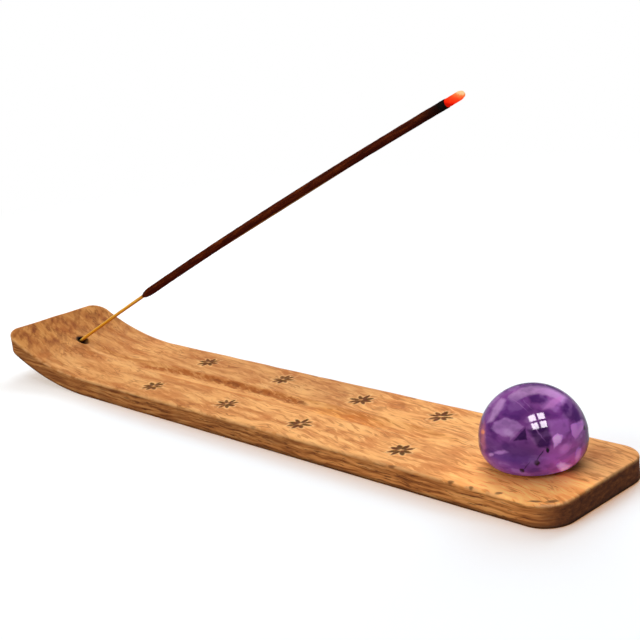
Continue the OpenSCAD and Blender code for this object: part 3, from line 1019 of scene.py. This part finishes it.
def stone_veils(p, at, where, wisps):
    """The stone as seen from the front right, with its veils, zones, specks and cracks, painted
    reflections and highlights, and painted light on its right and low sides.
    """
    bands = p.noise(at, (0.8, 0.8, 0.35), detail=3.0, rough=0.55)
    colour = p.ramp(bands, [
        (0.32, 104, 44, 122),
        (0.50, 130, 64, 142),
        (0.68, 150, 84, 158),
    ])
    colour = mottled(p, at, colour, 1.0)
    crescent = p.times(crescent_mask(p, where), p.remap(wisps, 0.3, 0.6, 0.65, 0.90))
    colour = p.mix(crescent, colour, srgb(*LILAC))
    for *zone, shade in ZONES:
        colour = p.mix(zone_mask(p, where, zone), colour, srgb(*shade))
    for corners, soft, strength, shade in VEILS:
        mask = veil_mask(p, where, corners, soft, strength)
        mask = p.times(mask, p.remap(wisps, 0.3, 0.6, 0.85, 1.0))
        colour = p.mix(mask, colour, srgb(*shade))
    for *zone, shade in SPECKS:
        colour = p.mix(zone_mask(p, where, zone), colour, srgb(*shade))
    colour = mottled(p, at, colour, 0.45)
    parts = p.parts(where)
    # Painted reflection: a grey band along the upper rim
    rim = p.remap(p.vector("LENGTH", p.stretched(where, (1.02, 0.915, 1.0))), 0.86, 0.95)
    rim = p.times(rim, p.remap(parts[1], 0.10, 0.40, 0.0, 0.60))
    colour = p.mix(rim, colour, srgb(124, 98, 136))
    # Painted light: brighter on the right and low sides, in place of light that passes through
    # the stone
    right = p.mix(p.remap(parts[0], -0.05, 0.75), (1.0, 1.0, 1.0), (2.1, 2.0, 2.2))
    low = p.mix(p.remap(parts[1], -0.25, -0.85), (1.0, 1.0, 1.0), (1.2, 1.6, 2.0))
    return p.multiplied(p.multiplied(colour, right), low)


def stone_cells(p, at, wisps):
    """The stone from its other sides: healed cracks that part paler and darker cells."""
    bent = p.noise(at, (0.5,) * 3, (3, 1, 2), colour=True)
    bent = p.swayed(at, bent, (0.55, 0.55, 0.40))
    spot = p.stretched(bent, (0.60, 0.60, 0.34), (5, 5, 5))
    tint = p.parts(p.cells(spot)["Color"])[0]
    edge = p.cells(spot, "DISTANCE_TO_EDGE")["Distance"]
    shade = p.plus(tint, p.times(p.minus(wisps, 0.5), 0.5))
    colour = p.ramp(shade, [
        (0.10, 82, 32, 108),
        (0.45, 112, 54, 134),
        (0.75, 136, 76, 154),
        (0.98, 168, 114, 184),
    ])
    pale = p.times(p.remap(edge, 0.08, 0.0), p.remap(wisps, 0.45, 0.60, 0.0, 0.40))
    return mottled(p, at, p.mix(pale, colour, srgb(*LILAC)), 0.9)


def amethyst_material():
    """Polished amethyst: deep purple with lilac veils, dark zones, specks and cracks, and painted
    highlights, reflections and light.
    """
    p = Painter("polished_amethyst")
    at = p.vector("SUBTRACT", p.place(), STONE_MIDDLE)
    at = p.vector("DIVIDE", at, (DOME_R,) * 3)
    right = p.vector("DOT_PRODUCT", at, STONE_RIGHT)
    up = p.vector("DOT_PRODUCT", at, STONE_UP)
    towards = p.vector("DOT_PRODUCT", at, STONE_TOWARDS)
    flat = p.joined(right, up)
    drift = p.noise(at, (0.16,) * 3, detail=3.0, rough=0.6, colour=True)
    where = p.swayed(flat, drift, (0.07, 0.07, 0))
    wisps = p.noise(at, (0.14, 0.14, 0.07), detail=4.0, rough=0.65)
    front = p.remap(towards, 0.22, 0.42)
    colour = p.mix(front, stone_cells(p, at, wisps), stone_veils(p, at, where, wisps))
    normal = p.bump(p.noise(at, (0.5,) * 3, detail=1.0), 0.05, 0.3)
    return p.shader(
        base_color=colour,
        roughness=0.035,
        ior=1.54,
        normal=normal,
        specular_ior_level=0.25,
    )


def glue_material():
    """Clear glue with a faint yellow cast and small bubbles."""
    p = Painter("clear_glue")
    spots = p.cells(p.stretched(p.place(), (0.7,) * 3))["Distance"]
    tint = p.mix(p.remap(spots, 0.1, 0.35), srgb(240, 236, 226), srgb(214, 196, 160))
    normal = p.bump(spots, 0.03, 0.5)
    return p.shader(
        base_color=tint,
        roughness=0.12,
        ior=1.47,
        transmission_weight=0.6,
        normal=normal,
    )


def along_stick(p):
    """Coordinates on the stick in millimetres, the place along it and the height over it."""
    at = p.vector("SUBTRACT", p.place(), tuple(BEND_CENTRE))
    along, across, out = [
        p.vector("DOT_PRODUCT", at, tuple(way)) for way in (HOLE_DIR, (0, 1, 0), HOLE_OUT)
    ]
    turn = p.math("ARCTAN2", along, out)
    spot = p.math("MULTIPLY_ADD", turn, STICK_BEND_R, HOLE_DEPTH - STICK_SEAT)
    out = p.minus(p.vector("LENGTH", p.joined(along, out)), STICK_BEND_R)
    return p.joined(spot, across, out), spot, out


def bamboo_material():
    """Golden split bamboo with fine fibres, painted shade on its lower side and a painted
    highlight on its upper side.
    """
    p = Painter("split_bamboo")
    at, along, height = along_stick(p)
    fibres = p.noise(at, (9, 0.16, 0.16), detail=3.0, rough=0.6)
    patches = p.noise(at, (11, 1.5, 1.5), (4, 4, 4))
    colour = p.ramp(fibres, [
        (0.34, 214, 132, 16),
        (0.50, 244, 170, 30),
        (0.66, 255, 210, 80),
    ])
    # Painted shade on the lower side and a painted highlight along the upper side
    colour = p.tint(colour, height, 0.00, -0.50, 0.65, (160, 86, 8))
    colour = p.tint(colour, height, 0.30, 0.58, 0.55, (255, 222, 140))
    colour = p.tint(colour, patches, 0.45, 0.70, 0.35, (196, 128, 42))
    stain = p.remap(along, BARE_L - 1.6, BARE_L + 0.2)
    colour = p.mix(p.times(stain, 0.6), colour, srgb(90, 44, 18))
    sooty = p.remap(along, HOLE_DEPTH + 0.8, HOLE_DEPTH - 1.0)
    colour = p.mix(p.times(sooty, 0.7), colour, srgb(60, 34, 14))
    normal = p.bump(fibres, 0.03, 0.8)
    return p.shader(base_color=colour, roughness=0.50, normal=normal, specular_ior_level=0.15)


def paste_material():
    """Matt dark red-brown incense paste with fine crumbs, and painted shade on its lower side."""
    p = Painter("rolled_incense_paste")
    at, along, height = along_stick(p)
    grit = p.noise(at, (0.45, 0.26, 0.26), detail=4.0, rough=0.7)
    streaks = p.noise(at, (7, 0.7, 0.7), (2, 5, 3), 3.0, 0.6)
    colour = p.ramp(grit, [
        (0.34, 60, 14, 2),
        (0.52, 86, 28, 6),
        (0.70, 118, 52, 16),
    ])
    colour = p.tint(colour, streaks, 0.46, 0.60, 0.7, (50, 12, 3))
    colour = p.tint(colour, streaks, 0.44, 0.34, 0.5, (122, 56, 16))
    # Painted shade: darker red on the lower side
    colour = p.tint(colour, height, 0.2, -1.2, 0.6, (60, 8, 6))
    burnt = p.remap(along, CHAR_AT - 12.0, CHAR_AT + 1.0)
    colour = p.mix(p.times(burnt, 0.9), colour, srgb(20, 8, 4))
    normal = p.bump(grit, 0.06, 0.7)
    return p.shader(base_color=colour, roughness=0.90, normal=normal, specular_ior_level=0.04)


def char_material():
    """Matt black char with specks of grey ash."""
    p = Painter("black_char")
    at, _, _ = along_stick(p)
    grit = p.noise(at, (0.25,) * 3, detail=4.0, rough=0.7)
    colour = p.ramp(grit, [
        (0.4, 12, 7, 4),
        (0.6, 26, 17, 12),
        (0.76, 74, 62, 52),
    ])
    normal = p.bump(grit, 0.12, 1.0)
    return p.shader(base_color=colour, roughness=0.92, normal=normal, specular_ior_level=0.04)


def ember_material():
    """Glowing end: dark red at the char, orange along it and pale yellow at its end."""
    p = Painter("glowing_ember")
    at, along, height = along_stick(p)
    share = p.math("DIVIDE", p.minus(along, EMBER_AT), EMBER_L)
    flaws = p.noise(at, (0.9, 0.7, 0.7), detail=3.0, rough=0.6)
    share = p.plus(share, p.times(p.minus(flaws, 0.5), 0.30))
    share = p.math("MULTIPLY_ADD", height, 0.20, share)
    glow = p.ramp(share, [
        (0.00, 200, 18, 4),
        (0.14, 246, 34, 10),
        (0.60, 254, 72, 30),
        (0.86, 252, 132, 68),
        (1.00, 252, 208, 150),
    ])
    normal = p.bump(flaws, 0.10, 0.8)
    return p.shader(
        base_color=srgb(30, 6, 2),
        roughness=1.0,
        specular_ior_level=0.0,
        normal=normal,
        emission_color=glow,
        emission_strength=1.0,
    )


# The pieces

# Points round each turned piece, and the angles in degrees over which an edge is sharp
DOME_SEGMENTS, BORE_SEGMENTS, BAMBOO_SEGMENTS = 144, 48, 32
PASTE_SEGMENTS, CHAR_SEGMENTS, EMBER_SEGMENTS = 44, 40, 40
SHARP_BOARD, SHARP_DOME, SHARP_COAT, SHARP_STICK = 50, 40, 60, 55


def dress(obj, material, body, node):
    """Gives a finished piece its material and its body, and hides the CAD node it stands for."""
    obj.data.materials.append(material)
    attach(obj, body)
    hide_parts(node)


def make_board():
    """The carved board, with its hole bored and its marks stored for the material."""
    verts, faces = board_mesh()
    board = new_object("carved_board", verts, faces)
    tool = new_object("bore_tool", *bore_tool())
    cut(board, tool)
    board.data.polygons.foreach_set("use_smooth", np.ones(len(board.data.polygons), bool))
    board.data.set_sharp_from_angle(angle=math.radians(SHARP_BOARD))
    mark_board(board)
    dress(board, wood_material(), "holder", "ash_catcher_board")


def dome_outline():
    """Radius and height of the stone from its base to its crown, on three arcs."""
    low = math.asin((2 * DOME_BEVEL * 0.9 - DOME_WIDEST_H) / DOME_FOOT_R)
    turn = math.acos(DOME_SHOULDER_X / (DOME_CROWN_R - DOME_SHOULDER_R))
    arcs = [
        (DOME_R - DOME_FOOT_R, DOME_WIDEST_H, DOME_FOOT_R, low, 0.0, 24),
        (DOME_SHOULDER_X, DOME_WIDEST_H, DOME_SHOULDER_R, 0.0, turn, 40),
        (0.0, DOME_H - DOME_CROWN_R, DOME_CROWN_R, turn, math.pi / 2, 32),
    ]
    outline = [(0.0, 0.0), (DOME_BASE_R - DOME_BEVEL, 0.0)]
    for x, z, r, start, end, steps in arcs:
        for k in range(steps):
            angle = start + (end - start) * k / steps
            outline.append((x + r * math.cos(angle), z + r * math.sin(angle)))
    return outline + [(0.0, DOME_H)]


def make_dome():
    """The polished stone, with a fine bevel round its flat base."""
    rings = []
    for r, z in dome_outline():
        centre = np.array([DOME_X, 0.0, DOME_BASE_Z + z])
        rings.append(turned_ring(centre, ALONG_Y, r, DOME_SEGMENTS, side=ALONG_X))
    dome = new_object("polished_dome", *turned_mesh(rings))
    facing_out(dome)
    dome.data.set_sharp_from_angle(angle=math.radians(SHARP_DOME))
    dress(dome, amethyst_material(), "holder", "amethyst_dome")


def stick_piece(name, outline, segments, bump):
    """A piece turned about the stick's line from (radius, place along it) pairs."""
    rings = [stick_ring(r, s, segments, bump) for r, s in outline]
    made = new_object(name, *turned_mesh(rings))
    facing_out(made)
    made.data.set_sharp_from_angle(angle=math.radians(SHARP_STICK))
    return made


def filled(outline, step):
    """An outline with more points, none further apart along the stick than step."""
    made = [outline[0]]
    for (r0, s0), (r1, s1) in zip(outline, outline[1:]):
        count = max(1, math.ceil(abs(s1 - s0) / step))
        for k in range(1, count + 1):
            share = k / count
            made.append((r0 + (r1 - r0) * share, s0 + (s1 - s0) * share))
    return made


def rough_bump(size, swing, seed):
    """A bump round the stick's line, as lattice noise of the given size and swing."""
    def bump(turn, at):
        ring = np.full(len(turn), float(at))
        return size * noise_at(ring, np.cos(turn), np.sin(turn), swing, seed)
    return bump


def make_bamboo():
    """The split bamboo, with faint corners and fine ridges along it."""
    r = BAMBOO_D / 2 + BAMBOO_SPARE
    ridge = rough_bump(0.018, (12, 0.22, 0.22), 21)

    def bump(turn, at):
        square = 0.045 * (np.cos(4 * turn + 0.4) - 1) / 2
        return ridge(turn, at) + square - 0.018

    bare = filled([(r * 0.82, 0.0), (r, 0.5), (r, BARE_L + 2.0)], 0.6)
    outline = [(0.0, 0.0)] + bare + [(r, EMBER_AT), (0.0, EMBER_AT)]
    bamboo = stick_piece("bamboo_stick", outline, BAMBOO_SEGMENTS, bump)
    dress(bamboo, bamboo_material(), "stick", "bamboo_core")


def closed_tube(rings):
    """A tube whose wall is closed: its last ring joins its first."""
    verts, faces = turned_mesh(rings)
    count, last = len(rings[0]), (len(rings) - 1) * len(rings[0])
    for m in range(count):
        n = (m + 1) % count
        faces.append((last + m, m, n, last + n))
    return verts, faces


def coat_piece(name, outer, ends, segments, bump):
    """A rough tube round the bamboo, from its outer line and the places of its two ends."""
    inner = BAMBOO_D / 2 - COAT_GRIP
    rings = [stick_ring(r, s, segments, bump) for r, s in outer]
    rings += [stick_ring(inner, s, segments) for s in reversed(ends)]
    made = new_object(name, *closed_tube(rings))
    facing_out(made)
    made.data.set_sharp_from_angle(angle=math.radians(SHARP_COAT))
    return made


def make_paste():
    """The coat of paste, thin where it starts and rough all over."""
    outer = filled([
        (BAMBOO_D / 2 + 0.12, BARE_L),
        (BAMBOO_D / 2 + 0.30, BARE_L + 0.5),
        (PASTE_START_R, BARE_L + PASTE_START_L * 0.45),
        (PASTE_LOW_R - 0.12, BARE_L + PASTE_START_L),
        (PASTE_LOW_R, BARE_L + PASTE_START_L * 1.7),
        (PASTE_TOP_R, CHAR_AT),
    ], 0.30)
    coarse = rough_bump(0.040, (2.2, 0.5, 0.5), 31)
    fine = rough_bump(0.018, (0.6, 0.25, 0.25), 32)

    def bump(turn, at):
        return coarse(turn, at) + fine(turn, at) - 0.02

    paste = coat_piece("rolled_paste", outer, (BARE_L, CHAR_AT), PASTE_SEGMENTS, bump)
    dress(paste, paste_material(), "stick", "incense_paste")


def make_char():
    """The short burnt ring between the paste and the glow."""
    outer = filled([
        (PASTE_TOP_R - 0.01, CHAR_AT),
        (PASTE_TOP_R + 0.02, CHAR_AT + CHAR_L * 0.4),
        (PASTE_TOP_R - 0.04, EMBER_AT),
    ], 0.2)
    bump = rough_bump(0.07, (0.6, 0.35, 0.35), 41)
    char = coat_piece("burnt_ring", outer, (CHAR_AT, EMBER_AT), CHAR_SEGMENTS, bump)
    dress(char, char_material(), "stick", "charred_ring")


def make_ember():
    """The glowing end, rounded and uneven."""
    wide, narrow = PASTE_TOP_R - 0.08, EMBER_END_D / 2
    outline = [(0.0, EMBER_AT)] + filled([
        (wide, EMBER_AT),
        (wide - 0.06, STICK_L - EMBER_ROUND_L),
        (wide - 0.22, STICK_L - EMBER_ROUND_L * 0.6),
        (narrow + 0.08, STICK_L - EMBER_ROUND_L * 0.24),
        (narrow * 0.6, STICK_L - 0.06),
    ], 0.22) + [(0.0, STICK_L - 0.02)]
    bump = rough_bump(0.06, (0.8, 0.45, 0.45), 51)
    ember = stick_piece("ember", outline, EMBER_SEGMENTS, bump)
    dress(ember, ember_material(), "stick", "ember_tip")


def dress_glue():
    """The film of glue keeps its CAD solid and gets a finer material."""
    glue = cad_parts["dome_adhesive"]
    glue.data.materials.clear()
    glue.data.materials.append(glue_material())


# The stage

# The paper's colour for light that bounces, its colour in view and the white it adds
# there
PAPER_BOUNCE = (0.25, 0.25, 0.25)
PAPER_SHOWN = (0.54, 0.80, 0.96)
PAPER_GLOW = (0.43, 0.18, 0.04)
# The same two under the raised end, where the shadow is fainter and less warm, and the
# places along the board, in millimetres, between which they take over
TIP_SHOWN = (0.50, 0.60, 0.68)
TIP_GLOW = (0.52, 0.42, 0.34)
TIP_SHADE = (-45.0, -95.0)
# The point on the paper round which the shadow shows, and how far it reaches from there
SHADOW_AT, SHADOW_REACH = (0, -20, 0), 170.0
# Strength of the world's even light, and of the white that reflections show
AMBIENT, REFLECTED = 0.17, 0.18


def floor_material():
    """White paper that takes the object's soft shadow and shows plain white further out."""
    p = Painter("white_paper")
    path = p.add("ShaderNodeLightPath").outputs
    mirrored = p.times(path["Is Glossy Ray"], REFLECTED)
    direct = p.math("MAXIMUM", path["Is Camera Ray"], path["Is Transmission Ray"])
    seen = p.math("MAXIMUM", direct, mirrored)
    away = p.vector("LENGTH", p.vector("SUBTRACT", p.place(), SHADOW_AT))
    far = p.remap(away, SHADOW_REACH, 3 * SHADOW_REACH)
    x = p.parts(p.place())[0]
    tip = p.remap(x, *TIP_SHADE)
    shown = p.mix(far, p.mix(tip, PAPER_SHOWN, TIP_SHOWN), (0, 0, 0))
    paper = p.mix(seen, PAPER_BOUNCE, shown)
    white = p.mix(far, p.mix(tip, PAPER_GLOW, TIP_GLOW), (1, 1, 1))
    glow = p.mix(seen, (0, 0, 0), white)
    diffuse = p.add("ShaderNodeBsdfDiffuse", {"Color": paper})
    light = p.add("ShaderNodeEmission", {"Color": glow})
    both = p.add("ShaderNodeAddShader", {0: diffuse.outputs[0], 1: light.outputs[0]})
    return p.show(both)


# Half the floor's side, and how far it lies below the part, in millimetres
FLOOR_HALF, FLOOR_DROP = 6000.0, 0.02


def make_floor():
    """A plain square floor under the part."""
    square = [(-1, -1), (1, -1), (1, 1), (-1, 1)]
    corners = [(x * FLOOR_HALF, y * FLOOR_HALF, 0) for x, y in square]
    floor = new_object("floor", corners, [(0, 1, 2, 3)])
    floor.location.z = -FLOOR_DROP * MM
    floor.data.materials.append(floor_material())


def make_world():
    """White to the camera and in reflections, and a weak even light for the rest."""
    world = bpy.data.worlds.new("studio")
    bpy.context.scene.world = world
    p = Painter(world)
    path = p.add("ShaderNodeLightPath").outputs
    level = AMBIENT
    for kind, strength in (("Is Glossy Ray", REFLECTED), ("Is Camera Ray", 1.0)):
        inputs = {"A": level, "B": strength, "Factor": path[kind]}
        level = p.add("ShaderNodeMix", inputs).outputs["Result"]
    back = p.add("ShaderNodeBackground", {"Color": (1, 1, 1), "Strength": level})
    p.show(back, "ShaderNodeOutputWorld")


def make_lamp(name, at, towards, size, power):
    """A square or oblong soft lamp; at, towards and size are in metres, power in watts."""
    data = bpy.data.lights.new(name, "AREA")
    data.shape = "RECTANGLE"
    data.size, data.size_y = size
    data.energy = power
    lamp = bpy.data.objects.new(name, data)
    bpy.context.scene.collection.objects.link(lamp)
    way = (Vector(towards) - Vector(at)).to_track_quat("-Z", "Y").to_matrix().to_4x4()
    lamp.matrix_world = Matrix.Translation(at) @ way
    return lamp


# The window's middle and the place it faces, the size of a pane, the bar between two
# panes, all in metres, and the power of a pane in watts and its colour
WINDOW_AT, WINDOW_LIT = (0.340, -0.148, 0.387), (0.116, -0.008, 0.023)
WINDOW_PANE, WINDOW_BAR, WINDOW_POWER = (0.110, 0.110), 0.036, 1.3
WINDOW_COLOUR = (1.0, 0.93, 1.0)


def make_window():
    """A small window of four panes that only shows as a reflection in polished stone."""
    middle, pane, bar = Vector(WINDOW_AT), WINDOW_PANE, WINDOW_BAR
    way = (Vector(WINDOW_LIT) - middle).to_track_quat("-Z", "Y").to_matrix()
    for column in (-1, 1):
        for row in (-1, 1):
            step = Vector((column * (pane[0] + bar) / 2, row * (pane[1] + bar) / 2, 0))
            at = middle + way @ step
            name = f"window_pane_{column + 2}{row + 2}"
            lamp = make_lamp(name, at, at + Vector(WINDOW_LIT) - middle, pane, WINDOW_POWER)
            lamp.data.color = WINDOW_COLOUR
            lamp.visible_diffuse = False
            lamp.visible_transmission = False


# Soft lamps: name, place, the place each faces, size, all in metres, and power in watts
SOFTBOXES = [
    ("top_softbox", (-0.32, 0.15, 1.18), (0, 0, 0), (1.50, 1.30), 9.0),
    ("back_softbox", (-0.42, 0.84, 0.62), (0, 0, 0), (1.10, 0.70), 11.5),
    ("front_fill", (-0.05, -0.85, 0.40), (0, 0, 0.02), (0.70, 0.50), 4.2),
]


def make_lamps():
    """The soft lamps, which don't show in reflections, and the window, which only does."""
    for softbox in SOFTBOXES:
        lamp = make_lamp(*softbox)
        lamp.visible_glossy = False
    make_window()


# The camera of the photograph: place in millimetres, turn, tilt and roll in degrees,
# and focal length in pixels of a 640 pixel frame
CAMERA_AT = (310.01, -257.35, 145.18)
CAMERA_TURN, CAMERA_TILT, CAMERA_ROLL = 47.618, 15.851, -6.504
CAMERA_FOCAL_PX, FRAME_PX, SENSOR_MM = 1280.689, 640.0, 36.0


def make_camera():
    """The camera at the photograph's place and angle."""
    turn, tilt, roll = (math.radians(a) for a in (CAMERA_TURN, CAMERA_TILT, CAMERA_ROLL))
    back = Vector((
        math.sin(turn) * math.cos(tilt),
        -math.cos(turn) * math.cos(tilt),
        math.sin(tilt),
    ))
    right = Vector((math.cos(turn), math.sin(turn), 0))
    up = back.cross(right)
    rolled_right = right * math.cos(roll) + up * math.sin(roll)
    rolled_up = up * math.cos(roll) - right * math.sin(roll)
    data = bpy.data.cameras.new("camera")
    data.sensor_width = SENSOR_MM
    data.lens = CAMERA_FOCAL_PX * SENSOR_MM / FRAME_PX
    data.clip_start, data.clip_end = 0.01, 50.0
    camera = bpy.data.objects.new("camera", data)
    bpy.context.scene.collection.objects.link(camera)
    turned = Matrix((rolled_right, rolled_up, back)).transposed().to_4x4()
    camera.matrix_world = Matrix.Translation(Vector(CAMERA_AT) * MM) @ turned
    bpy.context.scene.camera = camera


make_camera()
make_board()
make_dome()
dress_glue()
make_bamboo()
make_paste()
make_char()
make_ember()
make_floor()
make_world()
make_lamps()
bpy.context.scene.view_settings.view_transform = "Standard"
